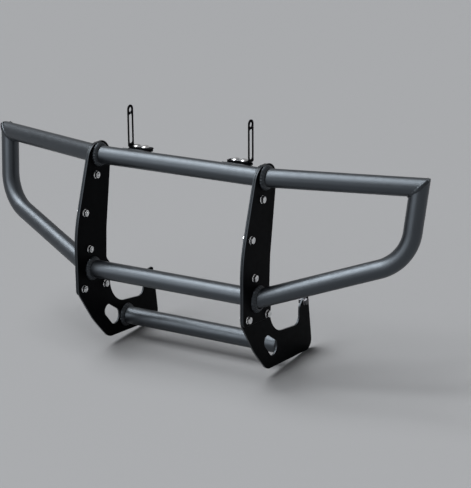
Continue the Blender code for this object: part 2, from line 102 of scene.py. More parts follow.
def merge_doubles():
    bpy.ops.mesh.select_all(action="SELECT")
    bpy.ops.mesh.remove_doubles(threshold=0.00002)


def pick(piece, kind, test):
    """Select only the vertices, edges or faces that pass the test."""
    bpy.ops.mesh.select_mode(type={"verts": "VERT", "edges": "EDGE", "faces": "FACE"}[kind])
    bpy.ops.mesh.select_all(action="DESELECT")
    shape = bmesh.from_edit_mesh(piece.data)
    for item in [item for item in getattr(shape, kind) if test(item)]:
        item.select_set(True)
    bmesh.update_edit_mesh(piece.data)


def face_outwards(piece):
    edit_all(piece, "FACE")
    bpy.ops.mesh.normals_make_consistent(inside=False)
    leave_edit_mode()


# %% Helpers for modifiers
def apply_modifier(piece, kind, **settings):
    make_active(piece)
    modifier = piece.modifiers.new(kind.lower(), kind)
    for setting, value in settings.items():
        setattr(modifier, setting, value)
    bpy.ops.object.modifier_apply(modifier=modifier.name)


def cut_with(piece, cutters, operation="DIFFERENCE"):
    """Cut a piece with one or more cutters, which are then thrown away."""
    for cutter in cutters:
        apply_modifier(piece, "BOOLEAN", operation=operation, solver="EXACT", object=cutter)
        bpy.data.objects.remove(cutter)


def soften_edges(piece, width, angle=35):
    apply_modifier(
        piece, "BEVEL", width=width, segments=3, limit_method="ANGLE",
        angle_limit=math.radians(angle), miter_outer="MITER_ARC", use_clamp_overlap=True,
    )


def smooth_skin(piece, angle=40):
    """Shade round faces smooth and keep flat faces flat."""
    make_active(piece)
    bpy.ops.object.shade_smooth_by_angle(angle=math.radians(angle))
    apply_modifier(piece, "WEIGHTED_NORMAL", keep_sharp=True, weight=50)


# %% Hand a finished piece over
def hand_over(piece, name, nodes, finish):
    """Name a finished piece, give it its finish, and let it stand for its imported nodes."""
    place_in_mesh(piece)
    piece.name = name
    piece.data.name = name
    piece.data.materials.clear()
    piece.data.materials.append(finish)
    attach(piece, "root")
    if nodes:
        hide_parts(*nodes)


# %% [markdown]
# ## Sizes
#
# These are the part's own sizes, read from its drawing: a 38.1 mm tube with a 2.4 mm wall,
# 3.5 mm plate, and a 0.3 mm gap wherever two pieces meet. A place in a side view is (y, z).

# %% Sizes of the tube, the plate and the frame
GAP = 0.0003
TUBE_RADIUS = 0.01905
TUBE_WALL = 0.0024
PLATE_T = 0.0035
SEAM_X = 0.1970
SIDE_INNER = SEAM_X - GAP / 2 - PLATE_T
SIDE_OUTER = SEAM_X - GAP / 2
WING_INNER = SEAM_X + GAP / 2
WING_OUTER = SEAM_X + GAP / 2 + PLATE_T
TOP_RAIL = (-0.1770, 0.3120)
MID_RAIL = (-0.2154, 0.0739)
LOW_RAIL = (-0.0933, -0.0683)
SIDES = {"left": -1, "right": 1}
print("side plate from", round(SIDE_INNER, 5), "to", round(SIDE_OUTER, 5))

# %% [markdown]
# ## The finish: satin black powder coat
#
# Powder is sprayed on dry and melts into one skin. It never dries quite flat: it keeps a
# fine orange peel a millimetre or two across, and its gloss drifts a little from place to
# place. Four noises make that. Two fine ones bump the surface, a middling one moves the
# roughness, and a wide one drifts the colour between two near blacks. They read Object
# coordinates, so the grain is the same size on every piece. The specular level is set on
# the shader's own socket, because it is the same all over.

# %% Noise helpers
def node_at(tree, kind, column, row, **values):
    node = tree.nodes.new(kind)
    node.location = (column * 220, row * -220)
    for socket, value in values.items():
        node.inputs[socket.replace("_", " ")].default_value = value
    return node


def object_space(tree, stretch=(1, 1, 1)):
    """Object coordinates through a Mapping node, which can stretch a grain."""
    place = node_at(tree, "ShaderNodeTexCoord", -6, 0)
    mapping = node_at(tree, "ShaderNodeMapping", -5, 0, Scale=stretch)
    tree.links.new(place.outputs["Object"], mapping.inputs["Vector"])
    return mapping.outputs["Vector"]


def grain(tree, vector, row, size, detail):
    """Noise whose blobs are about size metres across."""
    noise = node_at(tree, "ShaderNodeTexNoise", -4, row, Scale=1 / size, Detail=detail, Roughness=0.5)
    tree.links.new(vector, noise.inputs["Vector"])
    return noise.outputs["Fac"]


def spread(tree, value, row, low, high):
    """Map a noise, which stays near one half, onto low to high."""
    ranged = node_at(tree, "ShaderNodeMapRange", -3, row)
    for socket, number in (("From Min", 0.3), ("From Max", 0.7), ("To Min", low), ("To Max", high)):
        ranged.inputs[socket].default_value = number
    tree.links.new(value, ranged.inputs["Value"])
    return ranged.outputs["Result"]


def two_tones(tree, value, row, dark, light):
    ramp = node_at(tree, "ShaderNodeValToRGB", -3, row)
    first, last = ramp.color_ramp.elements
    first.position, last.position = 0.35, 0.65
    first.color, last.color = (*dark, 1), (*light, 1)
    tree.links.new(value, ramp.inputs["Fac"])
    return ramp.outputs["Color"]


def bumped(tree, height, strength, distance, under=None):
    bump = node_at(tree, "ShaderNodeBump", -1, 3, Strength=strength, Distance=distance)
    tree.links.new(height, bump.inputs["Height"])
    if under is not None:
        tree.links.new(under, bump.inputs["Normal"])
    return bump.outputs["Normal"]


def new_finish(name):
    """A material with its node tree and its shader."""
    finish = bpy.data.materials.new(name)
    finish.use_nodes = True
    return finish, finish.node_tree, finish.node_tree.nodes["Principled BSDF"]


# %% Powder coat
def powder_coat(name, dark, light, gloss, specular, peel):
    """Satin powder coat: gloss is (lowest, highest) roughness, peel the bump's height."""
    finish, tree, shader = new_finish(name)
    shader.inputs["IOR"].default_value = 1.6
    shader.inputs["Specular IOR Level"].default_value = specular
    shader.inputs["Specular Tint"].default_value = (0.80, 0.90, 1.0, 1)
    vector = object_space(tree)
    colour = two_tones(tree, grain(tree, vector, 0, size=0.060, detail=2), 0, dark, light)
    roughness = spread(tree, grain(tree, vector, 1, size=0.012, detail=3), 1, *gloss)
    fine = bumped(tree, grain(tree, vector, 2, size=0.0007, detail=1), 0.15, peel * 0.3)
    skin = bumped(tree, grain(tree, vector, 3, size=0.0022, detail=2), 0.20, peel, fine)
    tree.links.new(colour, shader.inputs["Base Color"])
    tree.links.new(roughness, shader.inputs["Roughness"])
    tree.links.new(skin, shader.inputs["Normal"])
    return finish


TUBE_COAT = powder_coat(
    "satin_black_on_tube", (0.0028, 0.0031, 0.0040), (0.0042, 0.0047, 0.0060),
    gloss=(0.34, 0.42), specular=0.85, peel=0.00008,
)
PLATE_COAT = powder_coat(
    "satin_black_on_plate", (0.0024, 0.0026, 0.0032), (0.0036, 0.0039, 0.0047),
    gloss=(0.40, 0.50), specular=0.015, peel=0.00010,
)
RIM_COAT = powder_coat(
    "satin_black_on_cut_edge", (0.0055, 0.0060, 0.0070), (0.0085, 0.0092, 0.0105),
    gloss=(0.32, 0.40), specular=0.4, peel=0.00008,
)
BEAD_COAT = powder_coat(
    "satin_black_on_weld", (0.0030, 0.0034, 0.0042), (0.0060, 0.0066, 0.0078),
    gloss=(0.26, 0.38), specular=0.55, peel=0.00016,
)
print("coats:", TUBE_COAT.name, PLATE_COAT.name, RIM_COAT.name, BEAD_COAT.name)

# %% [markdown]
# ## The finish: bright zinc
#
# Zinc plated bolts are metal, so the colour is the tint of the reflection and the
# roughness does the rest. Plating is a little cloudy, and a drawn or rolled blank keeps fine
# scratches. The scratches are a noise squeezed along one direction with the Mapping node.
# The bolts and nuts in the two rear prongs have a rougher plating, and its much darker colour
# is painted shade: the shade they sit in is painted into the metal.

# %% Zinc
def zinc_plate(name, dark, light, gloss):
    finish, tree, shader = new_finish(name)
    shader.inputs["Metallic"].default_value = 1.0
    vector = object_space(tree, (0.35, 1.0, 1.0))
    colour = two_tones(tree, grain(tree, vector, 0, size=0.0040, detail=3), 0, dark, light)
    roughness = spread(tree, grain(tree, vector, 1, size=0.0015, detail=4), 1, *gloss)
    scratches = bumped(tree, grain(tree, vector, 2, size=0.0004, detail=2), 0.3, 0.00004)
    tree.links.new(colour, shader.inputs["Base Color"])
    tree.links.new(roughness, shader.inputs["Roughness"])
    tree.links.new(scratches, shader.inputs["Normal"])
    return finish


ZINC = zinc_plate("bright_zinc_plate", (0.50, 0.51, 0.53), (0.96, 0.96, 0.95), gloss=(0.12, 0.22))
# The prong plating is rougher, and its dark colour is painted shade.
ZINC_WITH_PAINTED_SHADE = zinc_plate("zinc_plate_with_painted_shade", (0.04, 0.04, 0.044), (0.18, 0.18, 0.19), gloss=(0.36, 0.52))
print("metals:", ZINC.name, ZINC_WITH_PAINTED_SHADE.name)

# %% [markdown]
# ## Plates
#
# Each plate is one closed outline of straight runs and arcs, cut from flat stock. By hand
# it is drawn with one vertex: extrude it along a straight run, then spin it round the centre
# of the arc, and so on until the line meets its start. Spin gives true arcs, where a
# bevelled corner would give flatter ones. With no window, spin turns clockwise for a
# positive angle, so the turn is given with its sign changed.

# %% Corners of the two outlines: y, z and radius
UPPER_FRONT = [(-0.2081, 0.3385, 0.035), (-0.2684, 0.1624, 0.250)]
SIDE_CORNERS = [
    (-0.1514, 0.0689, 0.010), (-0.1630, 0.0829, 0.010), (-0.1597, 0.1469, 0.150), (-0.1310, 0.3385, 0.035),
    *UPPER_FRONT,
    (-0.2684, 0.0309, 0.035), (-0.2174, -0.0425, 0.200), (-0.1645, -0.0982, 0.040), (0.0380, -0.1173, 0.020),
    (0.0174, 0.0105, 0.007), (-0.0006, 0.0105, 0.007), (-0.0217, -0.0055, 0.007), (-0.0217, -0.0447, 0.018),
    (-0.1565, -0.0233, 0.066),
]
WING_CORNERS = [
    (-0.1514, 0.0689, 0.010), (-0.1606, 0.0829, 0.010), (-0.1573, 0.1469, 0.150), (-0.1259, 0.3385, 0.035),
    *UPPER_FRONT,
    (-0.2684, 0.0265, 0.0115), (-0.1565, 0.0155, 0.0115),
]
WING_BOLTS = [(-0.1935, 0.2722), (-0.23795, 0.20045), (-0.2258, 0.1187), (-0.2510, 0.0385), (-0.1724, 0.0275)]
FRAME_BOLT = (0.0, 0.0)
BOLT_HOLE_RADIUS = 0.0045
print("corners:", len(SIDE_CORNERS), "on a side plate,", len(WING_CORNERS), "on a wing plate")

# %% Draw an outline by extruding and spinning one vertex
WIDE_ARC = 0.05
ARC_STEP, WIDE_ARC_STEP = 6, 2.5
SHORTEST_RUN = 1e-6


def corner_arcs(corners):
    """Start, centre, end and turn of the arc at each corner."""
    points = [Vector(corner[:2]) for corner in corners]
    arcs = []
    for k, point in enumerate(points):
        before = (point - points[k - 1]).normalized()
        after = (points[(k + 1) % len(points)] - point).normalized()
        turn = math.atan2(before.cross(after), before.dot(after))
        radius = corners[k][2]
        reach = radius * abs(math.tan(turn / 2))
        start = point - before * reach
        centre = start + Vector((-before.y, before.x)) * math.copysign(radius, turn)
        arcs.append((start, centre, point + after * reach, turn))
    return arcs


def first_vertex(place):
    """One vertex, made from a plane whose corners are merged."""
    leave_edit_mode()
    bpy.ops.mesh.primitive_plane_add(size=0.001, location=place)
    piece = bpy.context.object
    place_in_mesh(piece)
    edit_all(piece)
    bpy.ops.mesh.merge(type="CENTER")
    return piece


def draw_plate(corners, x, thickness):
    """A flat plate whose inner face lies at x, with its outline in the y-z plane."""
    arcs = corner_arcs(corners)
    pen = arcs[0][0]
    piece = first_vertex((x, pen.x, pen.y))
    for start, centre, end, turn in arcs:
        step = start - pen
        if step.length > SHORTEST_RUN:
            bpy.ops.mesh.extrude_region_move(TRANSFORM_OT_translate={"value": (0, step.x, step.y)})
        arc_step = WIDE_ARC_STEP if (start - centre).length > WIDE_ARC else ARC_STEP
        steps = max(2, math.ceil(abs(math.degrees(turn)) / arc_step))
        bpy.ops.mesh.spin(steps=steps, angle=-turn, center=(x, centre.x, centre.y), axis=(1, 0, 0))
        pen = end
    merge_doubles()
    bpy.ops.mesh.edge_face_add()
    bpy.ops.mesh.extrude_region_move(TRANSFORM_OT_translate={"value": (thickness, 0, 0)})
    face_outwards(piece)
    return piece


# %% [markdown]
# Holes are cut with plain cylinders as Boolean cutters, as a punch would. The strap hole in
# the lower end of a side plate is two round ends of unlike size with straight sides between
# them: two joined cylinders under one convex hull. Cutting leaves knife edges, and real
# edges never are, so a Bevel modifier breaks every sharp edge by nearly a millimetre. The
# cut edge gets a coat of its own, because it catches the light along the front of a plate.

# %% Cutters
CUTTER_LENGTH = 0.03
STRAP_HOLE_ENDS = [(-0.1623, -0.0367, 0.013), (-0.1378, -0.0581, 0.017)]


def rod(radius, place, direction, length, vertices=40):
    """A round bar centred on a place."""
    leave_edit_mode()
    turn = Vector(direction).to_track_quat("Z", "Y").to_euler()
    bpy.ops.mesh.primitive_cylinder_add(
        vertices=vertices, radius=radius, depth=length, location=place, rotation=turn
    )
    piece = bpy.context.object
    place_in_mesh(piece)
    return piece


def join(pieces):
    make_active(pieces[0])
    for piece in pieces:
        piece.select_set(True)
    bpy.ops.object.join()
    return pieces[0]


def bolt_hole_cutter(x, places):
    return join([rod(BOLT_HOLE_RADIUS, (x, y, z), (1, 0, 0), CUTTER_LENGTH) for y, z in places])


def strap_hole_cutter(x):
    cutter = join([rod(radius, (x, y, z), (1, 0, 0), CUTTER_LENGTH) for y, z, radius in STRAP_HOLE_ENDS])
    edit_all(cutter)
    bpy.ops.mesh.convex_hull()
    leave_edit_mode()
    return cutter


print("bolt holes:", round(2000 * BOLT_HOLE_RADIUS, 1), "mm wide")

# %% Finish of a plate
PLATE_EDGE = 0.0009


def coat_rim(plate):
    """Give the cut edge of a plate, all round, its own coat."""
    plate.data.materials.append(RIM_COAT)
    edit(plate, "FACE")
    pick(plate, "faces", lambda face: abs(face.normal.x) < 0.8)
    plate.active_material_index = 1
    bpy.ops.object.material_slot_assign()
    leave_edit_mode()


def dress_plate(plate, cutters, kind, side):
    cut_with(plate, cutters)
    soften_edges(plate, PLATE_EDGE)
    smooth_skin(plate)
    hand_over(plate, f"{kind}_plate_skin_{side}", [f"{kind}_plate_{side}"], PLATE_COAT)
    coat_rim(plate)
    print(plate.name, len(plate.data.polygons), "faces")


# %% Side plates and wing plates
for side, sign in SIDES.items():
    x = sign * SIDE_INNER
    plate = draw_plate(SIDE_CORNERS, x, sign * PLATE_T)
    dress_plate(plate, [bolt_hole_cutter(x, [*WING_BOLTS, FRAME_BOLT]), strap_hole_cutter(x)], "side", side)

    x = sign * WING_INNER
    plate = draw_plate(WING_CORNERS, x, sign * PLATE_T)
    dress_plate(plate, [bolt_hole_cutter(x, WING_BOLTS)], "wing", side)

# %% [markdown]
# ## Tubes
#
# A tube starts as a circle. Extruding its edge makes a straight run, and spinning the open
# end makes a bend, as a bender rolls the tube round its former. Solidify gives it the wall.
# Then each end is cut as a saw would cut it: bisect along the face of the plate or along the
# mitre, and bridge the inner and outer loops to close the wall.

# %% Helpers that draw a tube and saw its ends
TUBE_SIDES = 72
RAIL_SPARE, SEAT_SPARE, MITRE_SPARE = 0.02, 0.03, 0.04
EVERYWHERE = 9.0


def start_tube(place, direction):
    leave_edit_mode()
    turn = direction.to_track_quat("Z", "Y").to_euler()
    bpy.ops.mesh.primitive_circle_add(vertices=TUBE_SIDES, radius=TUBE_RADIUS, location=place, rotation=turn)
    piece = bpy.context.object
    place_in_mesh(piece)
    edit_all(piece, "EDGE")
    return piece


def run_on(step):
    bpy.ops.mesh.extrude_region_move(TRANSFORM_OT_translate={"value": tuple(step)})


def give_wall(piece):
    face_outwards(piece)
    apply_modifier(piece, "SOLIDIFY", thickness=TUBE_WALL, offset=-1.0, use_even_offset=True)


def bridge_open_edges(piece):
    bpy.ops.mesh.select_mode(type="EDGE")
    pick(piece, "edges", lambda edge: edge.is_boundary)
    bpy.ops.mesh.bridge_edge_loops()
    leave_edit_mode()


def saw_end(piece, place, outwards, reach=EVERYWHERE):
    """Cut off what lies outwards of a plane, among the faces within reach of the place."""
    edit(piece, "FACE")
    pick(piece, "faces", lambda face: (face.calc_center_median() - place).length < reach)
    bpy.ops.mesh.bisect(plane_co=place, plane_no=outwards, clear_outer=True)
    bridge_open_edges(piece)


def grind_flat(piece, place, outwards):
    """Take off all that lies outwards of a plane, and close the cut with one face."""
    edit_all(piece, "FACE")
    bpy.ops.mesh.bisect(plane_co=place, plane_no=outwards, clear_outer=True, use_fill=True)
    leave_edit_mode()


def dress_tube(piece, name, nodes):
    face_outwards(piece)
    smooth_skin(piece, 30)
    hand_over(piece, name, nodes, TUBE_COAT)
    print(name, len(piece.data.polygons), "faces")


# %% [markdown]
# The three rails run straight across between the side plates.

# %% Rails
RAIL_REACH = SIDE_INNER - GAP
RAILS = {"top_rail": TOP_RAIL, "mid_rail": MID_RAIL, "lower_rail": LOW_RAIL}
for name, (y, z) in RAILS.items():
    along = Vector((1, 0, 0))
    rail = start_tube(Vector((-RAIL_REACH - RAIL_SPARE, y, z)), along)
    run_on(along * (2 * RAIL_REACH + 2 * RAIL_SPARE))
    give_wall(rail)
    saw_end(rail, Vector((-RAIL_REACH, y, z)), -along)
    saw_end(rail, Vector((RAIL_REACH, y, z)), along)
    dress_tube(rail, f"{name}_skin", [name])

# %% [markdown]
# Each wing is two tubes. The upper one sweeps back to a sharp mitred corner. The outer one
# comes down from that corner, turns through one bend and runs in again to the plate. The
# tip of the mitre is ground flat, square to the line that halves the corner.

# %% Centre lines of the wings
BEND_RADIUS = 0.090
MITRE_TRIM = 0.0025
CORNER_X, CORNER_BACK, CORNER_DROP = 0.491, 0.0857, 0.002
KNEE_IN, KNEE_FORWARD, KNEE_DROP = 0.010, 0.0209, 0.1465
FOOT_BACK, FOOT_DROP = 0.004, 0.005


def wing_lines(sign):
    root = Vector((sign * SEAM_X, TOP_RAIL[0], TOP_RAIL[1]))
    corner = Vector((sign * CORNER_X, TOP_RAIL[0] + CORNER_BACK, TOP_RAIL[1] - CORNER_DROP))
    knee = corner + Vector((-sign * KNEE_IN, -KNEE_FORWARD, -KNEE_DROP))
    foot = Vector((sign * SEAM_X, MID_RAIL[0] + FOOT_BACK, MID_RAIL[1] - FOOT_DROP))
    out = (corner - root).normalized()
    down = (knee - corner).normalized()
    inward = (foot - knee).normalized()
    mitre = (out + down).normalized()
    away = (out - down).normalized()
    seat_x = sign * (WING_OUTER + GAP)
    return SimpleNamespace(
        corner=corner, knee=knee, out=out, down=down, inward=inward, mitre=mitre, away=away,
        face=Vector((sign, 0, 0)),
        top_seat=root + out * (seat_x - root.x) / out.x,
        foot_seat=foot + inward * (seat_x - foot.x) / inward.x,
        tip=corner + away * (TUBE_RADIUS / out.dot(mitre) - MITRE_TRIM),
    )


wings = {side: wing_lines(sign) for side, sign in SIDES.items()}
print("corners of the wings at x =", [round(wing.corner.x, 4) for wing in wings.values()])


# %% Upper tube of a wing
def upper_wing_tube(wing):
    start = wing.top_seat - wing.out * SEAT_SPARE
    tube = start_tube(start, wing.out)
    run_on(wing.corner + wing.out * MITRE_SPARE - start)
    give_wall(tube)
    saw_end(tube, wing.top_seat, -wing.face)
    saw_end(tube, wing.corner - wing.mitre * (GAP / 2), wing.mitre)
    grind_flat(tube, wing.tip, wing.away)
    return tube


# %% Outer tube of a wing
FOOT_REACH, MITRE_REACH = 0.17, 0.1


def outer_wing_tube(wing):
    turn = wing.down.angle(wing.inward)
    normal = wing.down.cross(wing.inward).normalized()
    bend_start = wing.knee - wing.down * BEND_RADIUS * math.tan(turn / 2)
    bend_end = wing.knee + wing.inward * BEND_RADIUS * math.tan(turn / 2)
    centre = bend_start + normal.cross(wing.down) * BEND_RADIUS
    start = wing.corner - wing.down * MITRE_SPARE
    tube = start_tube(start, wing.down)
    run_on(bend_start - start)
    bpy.ops.mesh.spin(steps=28, angle=-turn, center=centre, axis=normal)
    run_on(wing.foot_seat + wing.inward * SEAT_SPARE - bend_end)
    give_wall(tube)
    saw_end(tube, wing.foot_seat, -wing.face, FOOT_REACH)
    saw_end(tube, wing.corner + wing.mitre * (GAP / 2), -wing.mitre, MITRE_REACH)
    grind_flat(tube, wing.tip, wing.away)
    return tube


for side, wing in wings.items():
    dress_tube(upper_wing_tube(wing), f"wing_top_tube_skin_{side}", [f"wing_top_tube_{side}"])
    dress_tube(outer_wing_tube(wing), f"wing_outer_tube_skin_{side}", [f"wing_outer_tube_{side}"])

# %% [markdown]
# ## Weld beads
#
# A weld laid by hand is a row of overlapping puddles that froze one after another, and the
# powder coat rounds them off. A bead starts as the section of a fillet, drawn with one
# vertex: along the plate, up, and round the crown with a spin. The section is spun round
# the tube's axis into a ring. Some stations of the ring are fattened, which gives the
# ripples, and the middle rows are turned a little ahead, which bends each ripple to a
# crescent. Last, the ring is sawn flat where it lies on the plate.

# %% Section of a fillet
WELD_LEG, WELD_RUN, WELD_CROWN = 0.0060, 0.0080, 0.0012
CROWN_STEPS = 6
BEAD_IN_TUBE, BEAD_IN_PLATE = 0.001, 0.002


def draw_fillet():
    """The section in the x-z plane: WELD_LEG out along the plate, WELD_RUN up the tube."""
    chord = math.hypot(WELD_LEG, WELD_RUN)
    arc_radius = (chord ** 2 / 4 + WELD_CROWN ** 2) / (2 * WELD_CROWN)
    back = arc_radius - WELD_CROWN
    centre = (TUBE_RADIUS + WELD_LEG / 2 - WELD_RUN / chord * back, 0, WELD_RUN / 2 - WELD_LEG / chord * back)
    bead = first_vertex((TUBE_RADIUS - BEAD_IN_TUBE, 0, -BEAD_IN_PLATE))
    run_on((BEAD_IN_TUBE + WELD_LEG, 0, 0))
    run_on((0, 0, BEAD_IN_PLATE))
    bpy.ops.mesh.spin(
        steps=CROWN_STEPS, angle=2 * math.asin(chord / 2 / arc_radius), center=centre, axis=(0, 1, 0)
    )
    run_on((-BEAD_IN_TUBE, 0, 0))
    pick(bead, "verts", lambda v: v.co.x < TUBE_RADIUS - BEAD_IN_TUBE / 2)
    bpy.ops.mesh.edge_face_add()
    return bead


print("fillet:", 1000 * WELD_LEG, "mm along the plate,", 1000 * WELD_RUN, "mm along the tube")

# %% Ripples round a ring
STATIONS = 4
SWELLS = ((0, 1.0), (1, 0.75), (2, 0.2))


def spin_ring(ripples):
    """Spin the selected section right round Z, with so many stations to each ripple."""
    bpy.ops.mesh.spin(steps=STATIONS * ripples, angle=2 * math.pi, center=(0, 0, 0), axis=(0, 0, 1))
    merge_doubles()
    bpy.ops.mesh.normals_make_consistent(inside=False)


def ripple(bead, ripples, height, chosen):
    """Fatten the chosen vertices, station by station, into steep-backed ripples."""
    def station(vert):
        return round(math.atan2(vert.co.y, vert.co.x) / (2 * math.pi) * STATIONS * ripples)

    for share, swell in SWELLS:
        pick(bead, "verts", lambda v: chosen(v) and station(v) % STATIONS == share)
        bpy.ops.transform.shrink_fatten(value=height * swell)


# %% One rippled fillet
FILLET_RIPPLES, FILLET_RIPPLE = 26, 0.0011
CRESCENT = 0.9
ABOVE_TUBE = TUBE_RADIUS + 0.0003
LOWEST_ROW, ROW_REACH = 0.0002, 0.0006
BEAD_FOOT = -0.8 * GAP


def off_the_tube(vert):
    return math.hypot(vert.co.x, vert.co.y) > ABOVE_TUBE


def rippled_fillet():
    bead = draw_fillet()
    bpy.ops.mesh.select_mode(type="EDGE")
    bpy.ops.mesh.select_all(action="SELECT")
    spin_ring(FILLET_RIPPLES)
    rows = sorted({round(v.co.z, 5) for v in bmesh.from_edit_mesh(bead.data).verts if v.co.z > LOWEST_ROW})
    ripple(bead, FILLET_RIPPLES, FILLET_RIPPLE, off_the_tube)
    for k, row in enumerate(rows[:-1]):
        ahead = math.sin(math.pi * (k + 1) / len(rows)) * CRESCENT * 2 * math.pi / (STATIONS * FILLET_RIPPLES)
        pick(bead, "verts", lambda v: abs(v.co.z - row) < ROW_REACH and off_the_tube(v))
        bpy.ops.transform.rotate(value=ahead / 2, orient_axis="Z", center_override=(0, 0, 0))
    bpy.ops.mesh.select_mode(type="FACE")
    bpy.ops.mesh.select_all(action="SELECT")
    bpy.ops.mesh.bisect(plane_co=(0, 0, BEAD_FOOT), plane_no=(0, 0, 1), clear_inner=True)
    bridge_open_edges(bead)
    return bead


# %% Lay a bead and coat it
def lay_bead(bead, centre, axis, lean=None, stretch=1.0):
    """Put a ring round an axis at a centre, stretched along lean where it is an oval."""
    axis = axis.normalized()
    across = lean if lean is not None else Vector((0, 0, 1))
    across = (across - axis * across.dot(axis)).normalized()
    turn = Matrix((across, axis.cross(across), axis)).transposed().to_4x4()
    bead.data.transform(Matrix.Translation(centre) @ turn @ Matrix.Diagonal((stretch, 1, 1, 1)))


def dress_bead(bead, name):
    face_outwards(bead)
    smooth_skin(bead, 38)
    hand_over(bead, name, [], BEAD_COAT)


# %% Beads where a tube meets a plate
for name, (y, z) in RAILS.items():
    for side, sign in SIDES.items():
        bead = rippled_fillet()
        lay_bead(bead, Vector((sign * RAIL_REACH, y, z)), Vector((-sign, 0, 0)))
        dress_bead(bead, f"weld_{name}_{side}")
for side, wing in wings.items():
    for name, seat, along in (("top", wing.top_seat, wing.out), ("foot", wing.foot_seat, -wing.inward)):
        bead = rippled_fillet()
        lay_bead(bead, seat, wing.face, Vector((0, along.y, along.z)), 1 / abs(along.x))
        dress_bead(bead, f"weld_wing_{name}_{side}")
print("faces on the last bead at a plate:", len(bead.data.polygons))

# %% [markdown]
# The bead over a mitre is low and broad, because it is ground back on the real corner. Its
# section is a flattened circle, its ring is an oval, the tube's circle stretched along the
# line that halves the corner, and it is sawn off a little before the flat tip.

# %% Beads over the mitred corners
BAND_RADIUS = TUBE_RADIUS - 0.0008
BAND_HALF_WIDTH, BAND_FLATNESS, BAND_SIDES = 0.0045, 0.40, 14
BAND_RIPPLES, BAND_RIPPLE = 24, 0.0005
BAND_SHORT_OF_TIP = 0.0030


def rippled_band():
    """A low, broad ring round Z at the origin."""
    leave_edit_mode()
    bpy.ops.mesh.primitive_circle_add(
        vertices=BAND_SIDES, radius=BAND_HALF_WIDTH,
        location=(BAND_RADIUS, 0, 0), rotation=(math.pi / 2, 0, 0),
    )
    bead = bpy.context.object
    bead.scale = (BAND_FLATNESS, 1, 1)
    place_in_mesh(bead)
    edit_all(bead, "EDGE")
    spin_ring(BAND_RIPPLES)
    ripple(bead, BAND_RIPPLES, BAND_RIPPLE, lambda v: True)
    leave_edit_mode()
    return bead


for side, wing in wings.items():
    bead = rippled_band()
    lay_bead(bead, wing.corner, wing.mitre, wing.away, 1 / wing.out.dot(wing.mitre))
    grind_flat(bead, wing.tip - wing.away * BAND_SHORT_OF_TIP, wing.away)
    dress_bead(bead, f"weld_mitre_{side}")
print("faces on the last bead at a mitre:", len(bead.data.polygons))

# %% [markdown]
# ## Tabs and strap brackets
#
# Behind the top rail, a welded tab carries each slotted strap. The tab is a block of 5 mm
# plate, cut round to fit the tube, with its rear corners rounded. The strap is one strip
# bent to an L: one vertex is drawn along its outer side with a spin for the bend, the line is
# extruded to a sheet, the corners of the sheet are rounded as vertices, and Solidify
# thickens it inwards.

# %% Tabs
TAB_INNER, TAB_OUTER = 0.093, 0.144
TAB_LENGTH = TAB_OUTER - TAB_INNER
TAB_FRONT, TAB_REAR = TOP_RAIL[0], TOP_RAIL[0] + 0.053
TAB_T, TAB_CORNER = 0.005, 0.004
TAB_TOP = TOP_RAIL[1] + 0.012
STRAP_Y = TOP_RAIL[0] + 0.0435
FOOT_BOLTS_X = (0.108, 0.1275)
BRACKET_EDGE = 0.0004


def tab_block(middle):
    """A block of the tab's size, with its two rear corners rounded."""
    def rear_upright(edge):
        first, second = edge.verts
        return abs(first.co.z - second.co.z) > TAB_T / 2 and first.co.y > middle[1]

    leave_edit_mode()
    bpy.ops.mesh.primitive_cube_add(size=1, location=middle, scale=(TAB_LENGTH, TAB_REAR - TAB_FRONT, TAB_T))
    tab = bpy.context.object
    place_in_mesh(tab)
    edit(tab, "EDGE")
    pick(tab, "edges", rear_upright)
    bpy.ops.mesh.bevel(offset=TAB_CORNER, segments=6, affect="EDGES")
    leave_edit_mode()
    return tab


def upright_cutter(sign, z, length):
    """One cutter for the two bolt holes of a bracket."""
    return join([rod(BOLT_HOLE_RADIUS, (sign * x, STRAP_Y, z), (0, 0, 1), length) for x in FOOT_BOLTS_X])


for side, sign in SIDES.items():
    middle_x = sign * (TAB_INNER + TAB_OUTER) / 2
    tab = tab_block((middle_x, (TAB_FRONT + TAB_REAR) / 2, TAB_TOP - TAB_T / 2))
    tube = rod(TUBE_RADIUS + GAP, (middle_x, *TOP_RAIL), (1, 0, 0), 2 * TAB_LENGTH, TUBE_SIDES)
    cut_with(tab, [upright_cutter(sign, TAB_TOP, CUTTER_LENGTH), tube])
    soften_edges(tab, BRACKET_EDGE)
    smooth_skin(tab)
    hand_over(tab, f"bracket_tab_skin_{side}", [f"bracket_tab_{side}"], PLATE_COAT)
print("top of the tabs at", round(TAB_TOP, 4))

# %% Sheet of a strap bracket
STRAP_T, STRAP_W = 0.0025, 0.019
STRAP_OUTER, STRAP_END, STRAP_TOP = 0.1443, 0.091, TOP_RAIL[1] + 0.102
FOOT_Z = TAB_TOP + GAP
FOOT_CORNER = 0.006
BEND_OUTER = 0.003 + STRAP_T
TOP_CORNER = STRAP_W / 2 * 0.995


def strap_sheet(sign):
    """The outer side of the bracket, drawn as a line and extruded across."""
    front = STRAP_Y - STRAP_W / 2
    bend_x = sign * (STRAP_OUTER - BEND_OUTER)
    strap = first_vertex((sign * STRAP_END, front, FOOT_Z))
    run_on((sign * (STRAP_OUTER - BEND_OUTER - STRAP_END), 0, 0))
    bpy.ops.mesh.spin(
        steps=8, angle=sign * math.pi / 2, axis=(0, 1, 0), center=(bend_x, front, FOOT_Z + BEND_OUTER)
    )
    run_on((0, 0, STRAP_TOP - FOOT_Z - BEND_OUTER))
    bpy.ops.mesh.select_all(action="SELECT")
    run_on((0, STRAP_W, 0))
    pick(strap, "verts", lambda v: v.co.z > STRAP_TOP - 0.001)
    bpy.ops.mesh.bevel(offset=TOP_CORNER, segments=12, affect="VERTICES")
    pick(strap, "verts", lambda v: abs(v.co.x) < STRAP_END + 0.001)
    bpy.ops.mesh.bevel(offset=FOOT_CORNER, segments=6, affect="VERTICES")
    leave_edit_mode()
    return strap


